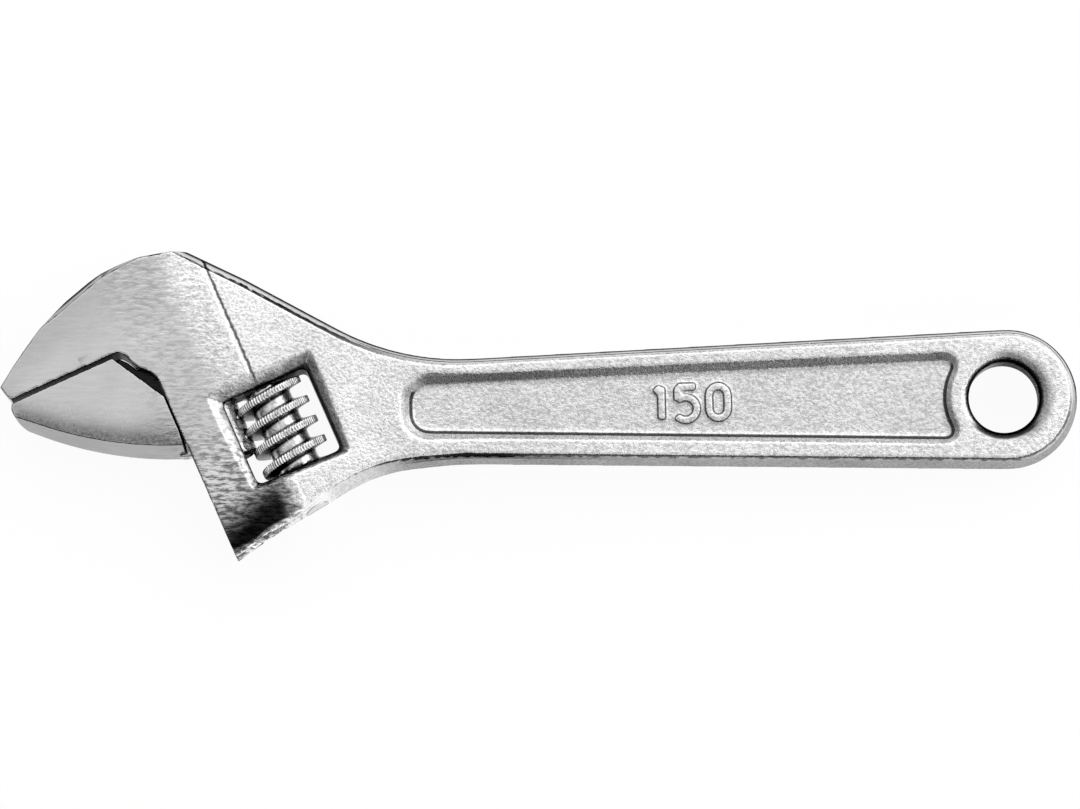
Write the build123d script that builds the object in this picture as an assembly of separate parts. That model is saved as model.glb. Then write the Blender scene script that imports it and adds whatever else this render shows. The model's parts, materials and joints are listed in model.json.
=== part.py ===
"""Adjustable wrench, 150 mm nominal, with its head set at 22.5 degrees to the handle.

Frame, in millimetres: the origin is the centre of the hanging hole on the parting plane, +X runs
along the handle from the head to the hole, +Y is the side of the fixed jaw and +Z is the upper face.
The head is drawn in its own plan frame: the origin is the middle of the worm window, u points away
from the mouth, v runs along the worm towards the fixed jaw, and w is Z.
"""

import os
from math import cos, pi, radians, sin, tan

from build123d import *

# Handle
HOLE_RADIUS = 4.9
HOLE_RIM_WIDTH = 1.7
HOLE_RIM_DEPTH = 1.2
END_RADIUS = 9.8
END_CENTRE_X = 0.55
HANDLE_TAPER = radians(1.83)
HANDLE_HALF_THICKNESS = 3.7
NECK_TOP_X = -83.8
NECK_TOP_RADIUS = 36.0
NECK_BOTTOM_X = -75.9
NECK_BOTTOM_RADIUS = 50.0
THROAT = (9.8, -11.15)
THROAT_RADIUS = 22.0
DRAFT = 16.0
EDGE_ROUND = 0.5
HANDLE_EDGES_X = -60.0

# Recessed panel on each face of the handle
PANEL_HALF_THICKNESS = 2.4
PANEL_LEFT_X = -82.2
PANEL_RIGHT_RADIUS = 8.5
PANEL_HALF_WIDTH_AT_HOLE = 5.5
PANEL_TAPER = radians(1.64)
PANEL_SKEW = -0.3
PANEL_WALL_SLOPE = 41.0
PANEL_LEFT_CORNER = 2.3
PANEL_RIGHT_CORNER = 0.8
NUMBER_HEIGHT = 5.4
NUMBER_HALF_WIDTH = 1.3
NUMBER_RELIEF = 0.3
NUMBER_ROOT = 0.1
NUMBER_STROKE = 0.95
NUMBER_PLACES = (-47.6, -44.1, -39.7)
NUMBER_Y = 0.3

# Head plan frame
HEAD_ANGLE = 22.5
HEAD = Plane(
    origin=(-100.4, -1.8, 0),
    x_dir=(cos(radians(HEAD_ANGLE)), sin(radians(HEAD_ANGLE)), 0),
    z_dir=(0, 0, 1),
)

# Head thickness: a crowned face that thins towards the tips, and a slope down to the handle
HEAD_HALF_THICKNESS = 5.5
CROWN_RADIUS = 170.0
CROWN_CENTRE_V = 6.0
CROWN_SPAN = 32.0
TIP_ARC_RADIUS = 211.0
TIP_ARC_START_U = -8.0
TIP_END_U = -38.0
CREASE_U = -1.3
CREASE_STEP = 0.15
SLOPE_END_U = 29.0

# Head plan
PEAK = (-2.3, 28.2)
TOP_BEND = (3.6, 21.3)
TOP_LINE_ANGLE = radians(49.5)
BOTTOM_LINE_ANGLE = radians(7.6)
NOSE_TIP = (-33.67, 20.82)
FIXED_FACE_V = 18.57
FIXED_FACE_NOSE_U = -33.1
FIXED_FACE_ROOT_U = -16.7
LAND_U = -13.1
LAND_TOP_V = 12.8
HEEL_TIP_V = -14.2
HEEL_FACE_END = (-4.4, -10.92)
HEEL_FACE_HEIGHT = 4.4
HEEL_FOOT_BEND = (-4.2, -12.6)
HEEL_FOOT_END = (0.6, -11.45)
HEEL_FOOT_HEIGHT = 3.9

# Worm window
WINDOW = 12.5
WINDOW_CORNER = 0.8
BEVEL_START = 4.1
BEVEL_RISE = 1.1
BEVEL_LEFT = 2.1
BEVEL_RIGHT = 1.5
BEVEL_TOP = 1.8
BEVEL_BOTTOM = 1.2
BEVEL_SLOPE = 3.1

# Worm, its pin and its spring
PITCH = 3.0
WORM_RADIUS = 5.05
WORM_ROOT_RADIUS = 3.1
WORM_LENGTH = 12.2
THREAD_CREST_HALF = 0.5
THREAD_ROOT_HALF = 0.78
THREAD_PHASE_V = 1.75
RIDGE_OVERLAP = 0.1
PIN_RADIUS = 1.3
PIN_FIT = 0.02
PIN_END_PLAY = 0.2
PIN_HEAD_PLAY = 0.05
WORM_BORE_RADIUS = 1.36
PIN_TOP_V = 9.8
PIN_HEAD_RADIUS = 1.75
PIN_HEAD_TOP_V = -8.5
PIN_HEAD_BOTTOM_V = -12.7
PIN_SLOT_WIDTH = 0.6
PIN_SLOT_DEPTH = 1.1
SPRING_POCKET_RADIUS = 2.3
SPRING_POCKET_DEPTH = 3.6
SPRING_COIL_RADIUS = 1.85
SPRING_WIRE_RADIUS = 0.25
SPRING_TURNS = 3.5
SPRING_PLAY = 0.03

# Movable jaw and its rack
JAW_FACE_V = 18.02
JAW_BACK_U = -13.3
JAW_SHOULDER_U = -17.77
JAW_SHOULDER_V = 10.2
JAW_HEEL_V = 5.0
JAW_HEEL_RELIEF = 0.6
SHANK_U = -8.1
SHANK_RADIUS = 3.75
SHANK_BOTTOM_V = -1.6
SHANK_TOP_V = 15.4
SHANK_CHAMFER = 0.5
WEB_HALF_THICKNESS = 1.95
WEB_FRONT_U = -12.9
WEB_CORNER_V = 1.3
BORE_RADIUS = 3.85
BORE_TOP_V = 16.2
SLOT_HALF_WIDTH = 2.1
RACK_SIDE_CLEARANCE = 0.15
RACK_DEPTH_CLEARANCE = 0.6

# The worm's own frame: x is up out of the face, y is u and the turning axis is v
WORM_AXIS = Plane(origin=(0, 0, 0), x_dir=(0, 0, 1), z_dir=(0, 1, 0))
BLANK_HEIGHT = 6.0

# Lengths of cuts and stock that only have to pass the metal
THROUGH = 20.0
PAST_HEAD_V = -30.0
HANDLE_STOCK = (90.0, 100.0)
STOCK_DEPTH = 1.0


def half_width(x):
    """Half of the handle's width at the parting plane."""
    return END_RADIUS / cos(HANDLE_TAPER) + (x - END_CENTRE_X) * tan(HANDLE_TAPER)


def head_point(u, v):
    """A plan point of the head, in the object's frame."""
    point = HEAD.from_local_coords(Vector(u, v, 0))
    return (point.X, point.Y)


def head_bottom_v(u):
    """The head's lower side at the parting plane."""
    return HEEL_TIP_V + (u - LAND_U) * tan(BOTTOM_LINE_ANGLE)


def blank_outline():
    """Plan of the forging at the parting plane. It runs past every edge that is machined later."""
    tangent_x = END_CENTRE_X - END_RADIUS * sin(HANDLE_TAPER)
    tangent_y = END_RADIUS * cos(HANDLE_TAPER)
    top_neck = (NECK_TOP_X, half_width(NECK_TOP_X))
    bottom_neck = (NECK_BOTTOM_X, -half_width(NECK_BOTTOM_X))
    spare = [
        TOP_BEND,
        (-4.85, 31.1),
        (-14.72, 30.3),
        (-37.2, 23.6),
        (-37.0, 16.3),
        (-19.0, 14.0),
        (-17.0, 8.0),
        (-17.0, head_bottom_v(-17.0)),
        THROAT,
    ]
    corners = [head_point(u, v) for u, v in spare]
    end = ThreePointArc((tangent_x, -tangent_y), (END_CENTRE_X + END_RADIUS, 0), (tangent_x, tangent_y))
    sides = Polyline((tangent_x, tangent_y), top_neck, *corners, bottom_neck, (tangent_x, -tangent_y))
    face = make_face(end.edges() + sides.edges())
    rounded = (
        (top_neck, NECK_TOP_RADIUS),
        (bottom_neck, NECK_BOTTOM_RADIUS),
        (head_point(*THROAT), THROAT_RADIUS),
    )
    for corner, radius in rounded:
        face = fillet(face.vertices().sort_by_distance((*corner, 0))[0], radius)
    return face


def crown_section(u, height, crowned=True):
    """Section across the head at u, in the head frame: a shallow arc over a flat bottom."""
    low_v = CROWN_CENTRE_V - CROWN_SPAN
    high_v = CROWN_CENTRE_V + CROWN_SPAN
    drop = CROWN_SPAN**2 / (2 * CROWN_RADIUS) if crowned else 0
    side = height - drop
    plane = Plane(origin=(u, 0, 0), x_dir=(0, 1, 0), z_dir=(1, 0, 0))
    if crowned:
        top = ThreePointArc((low_v, side), (CROWN_CENTRE_V, height), (high_v, side))
    else:
        top = Line((low_v, side), (high_v, side))
    rest = Polyline((high_v, side), (high_v, -STOCK_DEPTH), (low_v, -STOCK_DEPTH), (low_v, side))
    return plane * make_face(top.edges() + rest.edges())


def tip_height(u):
    """Half thickness of the ground front of the head along its middle."""
    beyond = max(0.0, TIP_ARC_START_U - u)
    return HEAD_HALF_THICKNESS - beyond**2 / (2 * TIP_ARC_RADIUS)


def ground_front():
    """Everything under the ground face of the jaws, forward of the crease."""
    spans = 5
    step = (CREASE_U - TIP_END_U) / spans
    stations = [TIP_END_U + step * index for index in range(spans + 1)]
    return loft([crown_section(u, tip_height(u)) for u in stations])


def upper_form():
    """Everything under the upper face, from the tips of the jaws to the end of the handle."""
    slope_top = HEAD_HALF_THICKNESS - CREASE_STEP
    slope = loft(
        [
            crown_section(CREASE_U, slope_top),
            crown_section(SLOPE_END_U, HANDLE_HALF_THICKNESS, crowned=False),
        ],
        ruled=True,
    )
    length, width = HANDLE_STOCK
    flat = Box(length, width, HANDLE_HALF_THICKNESS + STOCK_DEPTH)
    middle_w = (HANDLE_HALF_THICKNESS - STOCK_DEPTH) / 2
    return ground_front() + slope + Pos(SLOPE_END_U + length / 2, PAST_HEAD_V, middle_w) * flat


def both_faces(half):
    """The half above the parting plane, with its mirror image."""
    return half + mirror(half, about=Plane.XY)


def machined_outline():
    """Plan of what is left after the mouth, the land and the outside of the jaw are machined."""
    outward = 10.0
    past_peak = (PEAK[0] + outward * sin(TOP_LINE_ANGLE), PEAK[1] + outward * cos(TOP_LINE_ANGLE))
    shoulder = (-9.0, 29.8)
    join = (-21.0, 28.35)
    back = Line(PEAK, shoulder).edges() + ThreePointArc(shoulder, (-15.0, 29.98), join).edges()
    crown = ThreePointArc(join, (-27.5, 24.85), NOSE_TIP)
    far_u, far_v = 130.0, 60.0
    mouth = Polyline(
        NOSE_TIP,
        (FIXED_FACE_NOSE_U, FIXED_FACE_V),
        (FIXED_FACE_ROOT_U, FIXED_FACE_V),
        (-15.9, 17.6),
        (-14.95, 15.4),
        (-13.5, 14.0),
        (LAND_U, LAND_TOP_V),
        (LAND_U, -far_v),
        (far_u, -far_v),
        (far_u, past_peak[1]),
        past_peak,
        PEAK,
    )
    return make_face(back + crown.edges() + mouth.edges())


def heel():
    """The lower corner of the head: upright at its tip, and cut back to the face by a facet."""
    past = 4.0
    front_u = LAND_U - past
    inside_v = -8.5
    tip = (front_u, head_bottom_v(front_u))
    foot = [tip, HEEL_FOOT_BEND, HEEL_FOOT_END, (HEEL_FOOT_END[0], inside_v), (front_u, inside_v)]
    edge_slope = (HEEL_FACE_END[1] - HEEL_TIP_V) / (HEEL_FACE_END[0] - LAND_U)
    face_tip = (front_u, HEEL_TIP_V - past * edge_slope)
    middle_u = (LAND_U + HEEL_FACE_END[0]) / 2
    middle = (middle_u, HEEL_TIP_V + (middle_u - LAND_U) * edge_slope)
    top = [face_tip, middle, HEEL_FACE_END, (HEEL_FACE_END[0], inside_v), (front_u, inside_v)]
    low = Pos(0, 0, HEEL_FOOT_HEIGHT) * make_face(Polyline(*foot, close=True).edges())
    high = Pos(0, 0, HEEL_FACE_HEIGHT) * make_face(Polyline(*top, close=True).edges())
    upright = extrude(low, HEEL_FOOT_HEIGHT, dir=(0, 0, -1))
    return upright + loft([low, high], ruled=True) + extrude(high, BLANK_HEIGHT - HEEL_FACE_HEIGHT)


def panel():
    """The hollow of the handle's panel: a flat floor and walls that lean outwards."""
    left = PANEL_LEFT_X
    left_half = PANEL_HALF_WIDTH_AT_HOLE + left * tan(PANEL_TAPER)
    outline = Polyline(
        (left, -left_half),
        (0, -PANEL_HALF_WIDTH_AT_HOLE),
        (0, PANEL_HALF_WIDTH_AT_HOLE),
        (left, left_half),
        close=True,
    )
    floor = make_face(outline.edges()) - Circle(PANEL_RIGHT_RADIUS)
    floor = fillet(floor.vertices().group_by(Axis.X)[0], PANEL_LEFT_CORNER)
    floor = fillet(floor.vertices().group_by(Axis.X)[-1], PANEL_RIGHT_CORNER)
    floor = Rot(0, 0, PANEL_SKEW) * floor
    depth = BLANK_HEIGHT - HANDLE_HALF_THICKNESS
    return Pos(0, 0, PANEL_HALF_THICKNESS) * extrude(floor, depth, taper=-PANEL_WALL_SLOPE)


def hole_rim():
    """The rounded mouth of the hanging hole, as the metal that is removed above the hole."""
    low = HANDLE_HALF_THICKNESS - HOLE_RIM_DEPTH
    outer = HOLE_RADIUS + HOLE_RIM_WIDTH
    diagonal = cos(pi / 4)
    middle = (outer - HOLE_RIM_WIDTH * diagonal, low + HOLE_RIM_DEPTH * diagonal)
    curve = ThreePointArc((HOLE_RADIUS, low), middle, (outer, HANDLE_HALF_THICKNESS))
    above = BLANK_HEIGHT
    rest = Polyline((outer, HANDLE_HALF_THICKNESS), (outer, above), (0, above), (0, low), (HOLE_RADIUS, low))
    profile = Plane.XZ * make_face(curve.edges() + rest.edges())
    return revolve(profile, Axis.Z)


def window_bevel():
    """The broad bevel around the upper edge of the worm window. It follows the face's slope."""
    grow = 2.0
    half = WINDOW / 2
    face = Plane.XY.rotated((0, BEVEL_SLOPE, 0))
    low = Plane(origin=(0, 0, BEVEL_START), z_dir=face.z_dir, x_dir=face.x_dir)
    high = low.offset(BEVEL_RISE * grow)
    left = half + BEVEL_LEFT * grow
    right = half + BEVEL_RIGHT * grow
    top = half + BEVEL_TOP * grow
    bottom = half + BEVEL_BOTTOM * grow
    mouth = Pos((right - left) / 2, (top - bottom) / 2) * Rectangle(left + right, top + bottom)
    return loft([low * Rectangle(WINDOW, WINDOW), high * mouth], ruled=True)


def raised_number():
    """The nominal length, 150, in plain raised figures on the floor of the upper panel."""
    half = (NUMBER_HEIGHT - NUMBER_STROKE) / 2
    side = NUMBER_HALF_WIDTH
    one = [Line((0, -half), (0, half)), Line((0, half), (-0.9, half - 0.7))]
    five = [
        Line((side - 0.1, half), (0.1 - side, half)),
        Line((0.1 - side, half), (-side, 0.3)),
        ThreePointArc((-side, 0.3), (side + 0.1, 1.55 - half), (-side - 0.1, 0.4 - half)),
    ]
    zero = [
        Line((-side, side - half), (-side, half - side)),
        ThreePointArc((-side, half - side), (0, half), (side, half - side)),
        Line((side, half - side), (side, side - half)),
        ThreePointArc((side, side - half), (0, -half), (-side, side - half)),
    ]
    figures = Sketch()
    for strokes, x in zip((one, five, zero), NUMBER_PLACES):
        for stroke in strokes:
            figures += Pos(x, 0) * trace(stroke, NUMBER_STROKE)
    place = Pos(0, NUMBER_Y, PANEL_HALF_THICKNESS - NUMBER_ROOT)
    return place * extrude(figures, NUMBER_RELIEF + NUMBER_ROOT)


def along_v(radius, low, high):
    """A cylinder along v in the head frame, with its axis at u = 0 on the parting plane."""
    return WORM_AXIS.location * Pos(0, 0, (low + high) / 2) * Cylinder(radius, high - low)


def head_cuts():
    """What is cut from the head: the worm window, the bore and slot of the shank, and the pin's hole."""
    window = Rectangle(WINDOW, WINDOW)
    window = fillet(window.vertices(), WINDOW_CORNER)
    cuts = Pos(0, 0, -THROUGH / 2) * extrude(window, THROUGH)
    cuts += both_faces(window_bevel())
    cuts += Pos(SHANK_U, 0, 0) * along_v(BORE_RADIUS, PAST_HEAD_V, BORE_TOP_V)
    slot_depth = THROUGH + SHANK_U
    slot = Box(slot_depth, BORE_TOP_V - PAST_HEAD_V, 2 * SLOT_HALF_WIDTH)
    cuts += Pos(SHANK_U - slot_depth / 2, (BORE_TOP_V + PAST_HEAD_V) / 2, 0) * slot
    cuts += along_v(PIN_RADIUS + PIN_FIT, PAST_HEAD_V, PIN_TOP_V + PIN_END_PLAY)
    cuts += along_v(PIN_HEAD_RADIUS + PIN_FIT, PAST_HEAD_V, PIN_HEAD_TOP_V)
    return cuts


def body():
    """Handle and fixed jaw, forged in one piece and then machined."""
    blank = extrude(blank_outline(), BLANK_HEIGHT, taper=DRAFT) + HEAD.location * heel()
    half = blank & (HEAD.location * upper_form())
    handle_face = half.faces().filter_by(Plane.XY).sort_by(Axis.Z)[-1]
    handle_edges = handle_face.edges().filter_by(lambda edge: edge.center().X > HANDLE_EDGES_X)
    half = fillet(handle_edges, EDGE_ROUND)
    half -= panel()
    half -= hole_rim()
    solid = both_faces(half)
    solid &= HEAD.location * Pos(0, 0, -BLANK_HEIGHT) * extrude(machined_outline(), 2 * BLANK_HEIGHT)
    solid -= Cylinder(HOLE_RADIUS, THROUGH)
    solid -= HEAD.location * head_cuts()
    return solid + raised_number()


def helical_ridge(root_radius, crest_radius, root_half, crest_half, start_v, turns):
    """A right-handed ridge of trapezoid section around the worm's axis, in the worm's own frame."""
    path = Pos(0, 0, start_v) * Helix(pitch=PITCH, height=turns * PITCH, radius=root_radius)
    section = Polyline(
        (root_radius, start_v - root_half),
        (crest_radius, start_v - crest_half),
        (crest_radius, start_v + crest_half),
        (root_radius, start_v + root_half),
        close=True,
    )
    return sweep(Plane.XZ * make_face(section.edges()), path, is_frenet=True)


def worm():
    """The thumb worm: one square-cut turn of thread per pitch, bored for the pin and the spring."""
    inner_radius = WORM_ROOT_RADIUS - RIDGE_OVERLAP
    start_v = THREAD_PHASE_V - 3 * PITCH
    ridge = helical_ridge(inner_radius, WORM_RADIUS, THREAD_ROOT_HALF, THREAD_CREST_HALF, start_v, 5)
    solid = Cylinder(WORM_ROOT_RADIUS, WORM_LENGTH) + (ridge & Cylinder(2 * WORM_RADIUS, WORM_LENGTH))
    solid -= Cylinder(WORM_BORE_RADIUS, THROUGH)
    pocket_z = (SPRING_POCKET_DEPTH - WORM_LENGTH) / 2
    solid -= Pos(0, 0, pocket_z) * Cylinder(SPRING_POCKET_RADIUS, SPRING_POCKET_DEPTH)
    return HEAD.location * WORM_AXIS.location * solid


def worm_pin():
    """The screw that the worm turns on. Its slotted head is flush with the lower edge of the wrench."""
    solid = along_v(PIN_RADIUS, PIN_HEAD_BOTTOM_V, PIN_TOP_V)
    solid += along_v(PIN_HEAD_RADIUS, PIN_HEAD_BOTTOM_V, PIN_HEAD_TOP_V - PIN_HEAD_PLAY)
    slot_v = PIN_HEAD_BOTTOM_V + PIN_SLOT_DEPTH / 2
    solid -= Pos(0, slot_v, 0) * Box(3 * PIN_HEAD_RADIUS, PIN_SLOT_DEPTH, PIN_SLOT_WIDTH)
    return (HEAD.location * solid) & both_faces(extrude(blank_outline(), BLANK_HEIGHT, taper=DRAFT))


def worm_spring():
    """The small compression spring that takes up the worm's end play."""
    inset = SPRING_WIRE_RADIUS + SPRING_PLAY
    start = inset - WINDOW / 2
    height = SPRING_POCKET_DEPTH - WORM_LENGTH / 2 - inset - start
    path = Pos(0, 0, start) * Helix(height / SPRING_TURNS, height, SPRING_COIL_RADIUS)
    section = Plane.XZ * Pos(SPRING_COIL_RADIUS, start) * Circle(SPRING_WIRE_RADIUS)
    coil = sweep(section, path, is_frenet=True)
    return HEAD.location * WORM_AXIS.location * coil


def jaw_blank():
    """The movable jaw's forging: a drafted underside, and spare metal everywhere else."""
    under = ThreePointArc((-31.9, 13.3), (-22.7, 5.9), (-13.2, 1.2))
    spare = Polyline((-13.2, 1.2), (-10, 0), (-10, 22), (-37, 22), (-37, 18.2), (-31.9, 13.3))
    face = make_face(under.edges() + spare.edges())
    return extrude(face, BLANK_HEIGHT, taper=DRAFT)


def jaw_outline():
    """Plan of the movable jaw after machining: face, shoulder, back and nose."""
    nose = ThreePointArc((-33.45, 17.3), (-33.2, 15.3), (-31.9, 13.2))
    rest = Polyline(
        (-31.9, 13.2),
        (-30, 5),
        (JAW_BACK_U - JAW_HEEL_RELIEF, 0),
        (JAW_BACK_U, JAW_HEEL_V),
        (JAW_BACK_U, JAW_SHOULDER_V),
        (JAW_SHOULDER_U, JAW_FACE_V),
        (-33.1, JAW_FACE_V),
        (-33.45, 17.3),
    )
    return make_face(nose.edges() + rest.edges())


def jaw_web():
    """The web between blade and shank. It also closes the corner behind the blade's shoulder."""
    outline = Polyline(
        (SHANK_U, SHANK_BOTTOM_V),
        (SHANK_U, SHANK_TOP_V),
        (-15.2, SHANK_TOP_V),
        (-16.0, 16.9),
        (-16.9, 17.9),
        (-17.9, 17.9),
        (-14.5, 5.0),
        (-14.5, WEB_CORNER_V + 0.5),
        (WEB_FRONT_U, WEB_CORNER_V),
        (WEB_FRONT_U, SHANK_BOTTOM_V),
        close=True,
    )
    web = extrude(make_face(outline.edges()), 2 * WEB_HALF_THICKNESS)
    return Pos(0, 0, -WEB_HALF_THICKNESS) * web


def movable_jaw():
    """The lower jaw with its web and round shank, whose inner side carries the rack."""
    solid = both_faces(jaw_blank() & ground_front())
    solid &= Pos(0, 0, -BLANK_HEIGHT) * extrude(jaw_outline(), 2 * BLANK_HEIGHT)
    shank = Pos(SHANK_U, 0, 0) * along_v(SHANK_RADIUS, SHANK_BOTTOM_V, SHANK_TOP_V)
    shank = chamfer(shank.edges().filter_by(GeomType.CIRCLE), SHANK_CHAMFER)
    slope = (THREAD_ROOT_HALF - THREAD_CREST_HALF) / (WORM_RADIUS - WORM_ROOT_RADIUS)
    groove = helical_ridge(
        WORM_ROOT_RADIUS,
        WORM_RADIUS + RACK_DEPTH_CLEARANCE,
        THREAD_ROOT_HALF + RACK_SIDE_CLEARANCE,
        THREAD_CREST_HALF + RACK_SIDE_CLEARANCE - slope * RACK_DEPTH_CLEARANCE,
        THREAD_PHASE_V - 2 * PITCH,
        8,
    )
    return HEAD.location * (solid + jaw_web() + shank - WORM_AXIS.location * groove)


NODES = {
    "wrench_body": body,
    "movable_jaw": movable_jaw,
    "worm": worm,
    "worm_pin": worm_pin,
    "worm_spring": worm_spring,
}

os.makedirs("parts", exist_ok=True)
for name, make in NODES.items():
    export_step(make(), f"parts/{name}.step")
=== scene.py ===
import json
from math import cos, pi, radians, sin

import bpy
import numpy as np
from mathutils import Matrix, Vector


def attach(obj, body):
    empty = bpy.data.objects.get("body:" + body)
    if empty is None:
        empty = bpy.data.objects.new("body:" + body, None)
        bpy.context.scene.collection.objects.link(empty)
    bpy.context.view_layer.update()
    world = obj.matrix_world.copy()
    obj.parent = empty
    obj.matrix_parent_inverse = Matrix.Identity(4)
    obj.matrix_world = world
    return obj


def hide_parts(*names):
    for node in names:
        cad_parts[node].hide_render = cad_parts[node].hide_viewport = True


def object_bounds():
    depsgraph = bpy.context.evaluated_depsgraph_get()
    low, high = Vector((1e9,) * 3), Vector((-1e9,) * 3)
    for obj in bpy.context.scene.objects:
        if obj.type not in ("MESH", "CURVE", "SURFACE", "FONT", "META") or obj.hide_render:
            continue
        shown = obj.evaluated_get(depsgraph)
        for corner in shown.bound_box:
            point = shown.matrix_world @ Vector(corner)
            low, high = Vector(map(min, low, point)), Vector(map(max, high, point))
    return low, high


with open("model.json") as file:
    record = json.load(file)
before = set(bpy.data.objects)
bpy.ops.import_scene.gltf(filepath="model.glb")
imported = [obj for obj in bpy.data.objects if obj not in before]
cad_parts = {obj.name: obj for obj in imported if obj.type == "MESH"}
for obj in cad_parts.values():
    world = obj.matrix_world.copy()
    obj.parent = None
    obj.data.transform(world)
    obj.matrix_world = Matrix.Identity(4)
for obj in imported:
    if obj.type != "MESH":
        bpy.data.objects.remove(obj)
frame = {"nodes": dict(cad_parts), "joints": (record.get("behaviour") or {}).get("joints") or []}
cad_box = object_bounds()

MM = 0.001
JOINTS = {joint["name"]: joint for joint in frame["joints"]}
ORIGIN = (0.0, 0.0, 0.0)
X_AXIS = (1.0, 0.0, 0.0)
Y_AXIS = (0.0, 1.0, 0.0)
UP = (0.0, 0.0, 1.0)

# The head's plan frame: u away from the mouth, v along the worm towards the fixed jaw, w is Z
HEAD_ORIGIN = np.array(JOINTS["worm_spin"]["pos_m"]) / MM
V_AXIS = np.array(JOINTS["worm_spin"]["axis"])
U_AXIS = np.array((V_AXIS[1], -V_AXIS[0], 0.0))

# Thickness of the forging, in millimetres: a crowned head, and a slope down to the handle
HEAD_HALF_THICKNESS = 5.5
HANDLE_HALF_THICKNESS = 3.7
CROWN_RADIUS = 170.0
CROWN_CENTRE_V = 6.0
TIP_ARC_RADIUS = 211.0
TIP_ARC_START_U = -8.0
CREASE_U = -1.3
CREASE_STEP = 0.15
CREASE_STEP_V = (-6.0, 8.0)
SLOPE_END_U = 29.0
FACE_TOLERANCE = (0.03, 0.1)

# The handle's hole and panel
HOLE_RADIUS = 4.9
PANEL_HALF_THICKNESS = 2.4
PANEL_TAPER = 0.0286
PANEL_SKEW = 0.00524
PANEL_OUTER_HALF_WIDTH = 6.9
PANEL_FLOOR_HALF_WIDTH = 4.6
FIGURES_CENTRE = (-43.8, 0.3)
FIGURES_HALF_SIZE = (6.3, 3.3)
FIGURES_TOP = 2.9

# The plan of the head and the jaw
JAW_BACK_U = -13.3
RACK_ROOT_U = -12.5
LAND_U = -13.1
HEEL_TIP_V = -14.2
HEEL_EDGE_SLOPE = 0.38
JAW_EDGE_U = (-33.0, -27.4, -22.7, -17.9, -13.2)
JAW_EDGE_V = (15.6, 10.6, 7.4, 4.7, 2.7)
WINDOW_U = (-8.2, 7.6)
WINDOW_V = (-7.6, 7.8)
MOUTH_ROOT_U = (-22.0, -13.2)
MOUTH_ROOT_V = (8.5, 19.8)

# How the ground faces fall away towards the lower edges, and where the skin is softened
BORE_TOP = 3.95
JAW_ROLL_REACH = 2.5
ROLL_WIDTH = 6.0
ROLL_END_U = -6.0
HEEL_ROLL_DEPTH = 0.3
JAW_ROLL_DEPTH = 0.5
SOFT_SKIN_U = (-11.0, -7.5)
SOFTENING = 0.5

# The worm, in millimetres
PITCH = 3.0
WORM_RADIUS = 5.05
WORM_ROOT_RADIUS = 3.1
WORM_LENGTH = 12.2
WORM_BORE_RADIUS = 1.36
SPRING_POCKET_RADIUS = 2.3
SPRING_POCKET_DEPTH = 3.6
THREAD_CREST_HALF = 0.5
THREAD_ROOT_HALF = 0.78
THREAD_PHASE_V = 1.75
WORM_CHAMFER = 0.12
TURNS_EACH_WAY = 4
KNURLS = 72
COLUMNS_PER_KNURL = 6
KNURL_DEPTH = 0.13
KNURL_FLANK = (0.15, 0.75)
KNURLED_HEIGHT = 0.9
WELD_DISTANCE = 0.004

# Patterns in the metal, in features per millimetre along X, Y and Z
GRAIN = (2.3, 2.3, 2.3)
WAVES = (0.35, 0.35, 0.35)
PATCHES = (0.12, 0.12, 0.12)
BRUSHING = (0.25, 2.5, 2.5)
STREAKS = (0.7, 2.0, 2.0)
RAGGED_EDGE = (0.9, 0.9, 0.9)
WOBBLE = (1.2, 1.2, 0.0)
WORM_SPECKLE = (1.6, 1.6, 1.6)
STEEL_SPECKLE = (2.0, 2.0, 2.0)
FLOOR_PATCHES = (0.01, 0.01, 0.01)

# Tones of the metal, and the painted light and shade of its parts as factors on them
GROUND_TONE = 0.57
FORGED_TONE = 0.79
MOUTH_SHADE = 0.25
MOUTH_ROOT_SHADE = 0.03
HOLLOW_SHADE = 0.35
HEEL_SHADE = 0.02
PEAK_SHADE = 0.78
LOWER_HEAD_SHADE = 1.25
HANDLE_END_SHADE = 1.1
CREASE_DARKNESS = 0.85
PARTING_SHADE = 0.05
FAR_SIDE_SHADE = 0.9
FAR_RIM_SHADE = 0.1
NEAR_HEAD_SHADE = 0.8
NEAR_HANDLE_SHADE = 0.62
NEAR_RIM_SHADE = 0.4
WAIST_RIM_SHADE = 0.1
FOOT_SHADE = 1.25
WINDOW_EDGE_SHADE = 0.15
HOLE_RING_SHADE = 0.08
HOLE_BORE_SHADE = 0.5
CRESCENT_SHADE = 0.4
UNDER_HOLE_SHADE = 0.06
PANEL_FLOOR_SHADE = 0.9
PANEL_LINE_SHADE = 0.15
PANEL_CORNER_SHADE = 0.6
PANEL_END_SHADE = 1.3
JAW_SIDE_SHADE = 0.75
JAW_EDGE_SHADE = 0.12
RACK_FLANK_SHADE = 0.08
# Painted shade on the worm's flanks and outlines, and painted light on its crests and root
THREAD_FLANK_SHADE = 0.16
THREAD_LIT_TONE = 0.86
THREAD_OUTLINE_SHADE = 0.06
THREAD_HOLLOW_SHADE = 0.2
# The pin's and the spring's own steel tones
PIN_SHADE = 0.75
SPRING_SHADE = 0.45

# Brightness of the studio
OVERHEAD_LIGHT = 0.98
RING_LIGHT = 0.9
HORIZON_SHADE = 0.3
FRONT_SHADE = 0.08
LEFT_SHADE = 0.45
FLOOR_GLOW = 0.93
FLOOR_HALF_SIZE = 3.0

# The camera, in millimetres and degrees
CAMERA_TARGET = (-64.49, 0.78, 0.0)
CAMERA_DISTANCE = 1150.0
CAMERA_ELEVATION = 84.0
CAMERA_ROLL = 1.3
VIEW_WIDTH = 150.42
SENSOR_WIDTH = 36.0


# Shapes

def smoothstep(low, high, x):
    """0 below low, 1 above high, and a smooth rise between."""
    t = np.clip((x - low) / (high - low), 0.0, 1.0)
    return t * t * (3.0 - 2.0 * t)


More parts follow.
